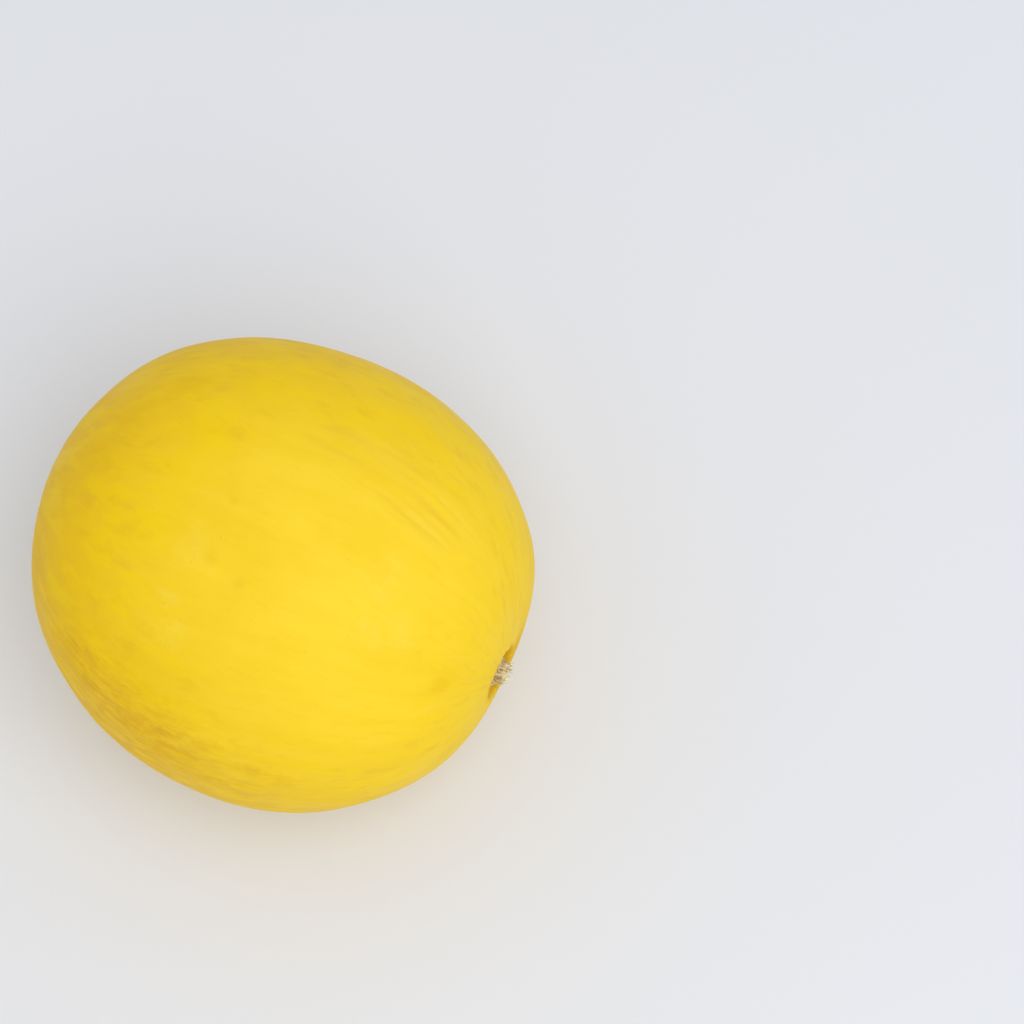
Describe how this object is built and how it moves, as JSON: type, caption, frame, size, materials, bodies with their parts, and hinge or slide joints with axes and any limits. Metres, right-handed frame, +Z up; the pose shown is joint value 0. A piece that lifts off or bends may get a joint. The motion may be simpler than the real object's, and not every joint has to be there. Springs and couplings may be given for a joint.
{
  "type": "canary melon",
  "caption": "Whole smooth yellow melon lying on its side on a small flat spot, with the dry corky end of its stalk in the stem hollow.",
  "frame": {"origin": "middle of the ground spot, on the surface that the melon rests on", "axes": "+X level along the long axis towards the stem end, +Z up, +Y across"},
  "size_m": [0.1692, 0.1551, 0.1529],
  "materials": {
    "rind": "smooth waxy yellow rind, satin sheen",
    "cork": "dry, fibrous, corky, matte"
  },
  "bodies": {
    "root": {"melon_fruit": "rind", "stem_stub": "cork"}
  },
  "joints": []
}
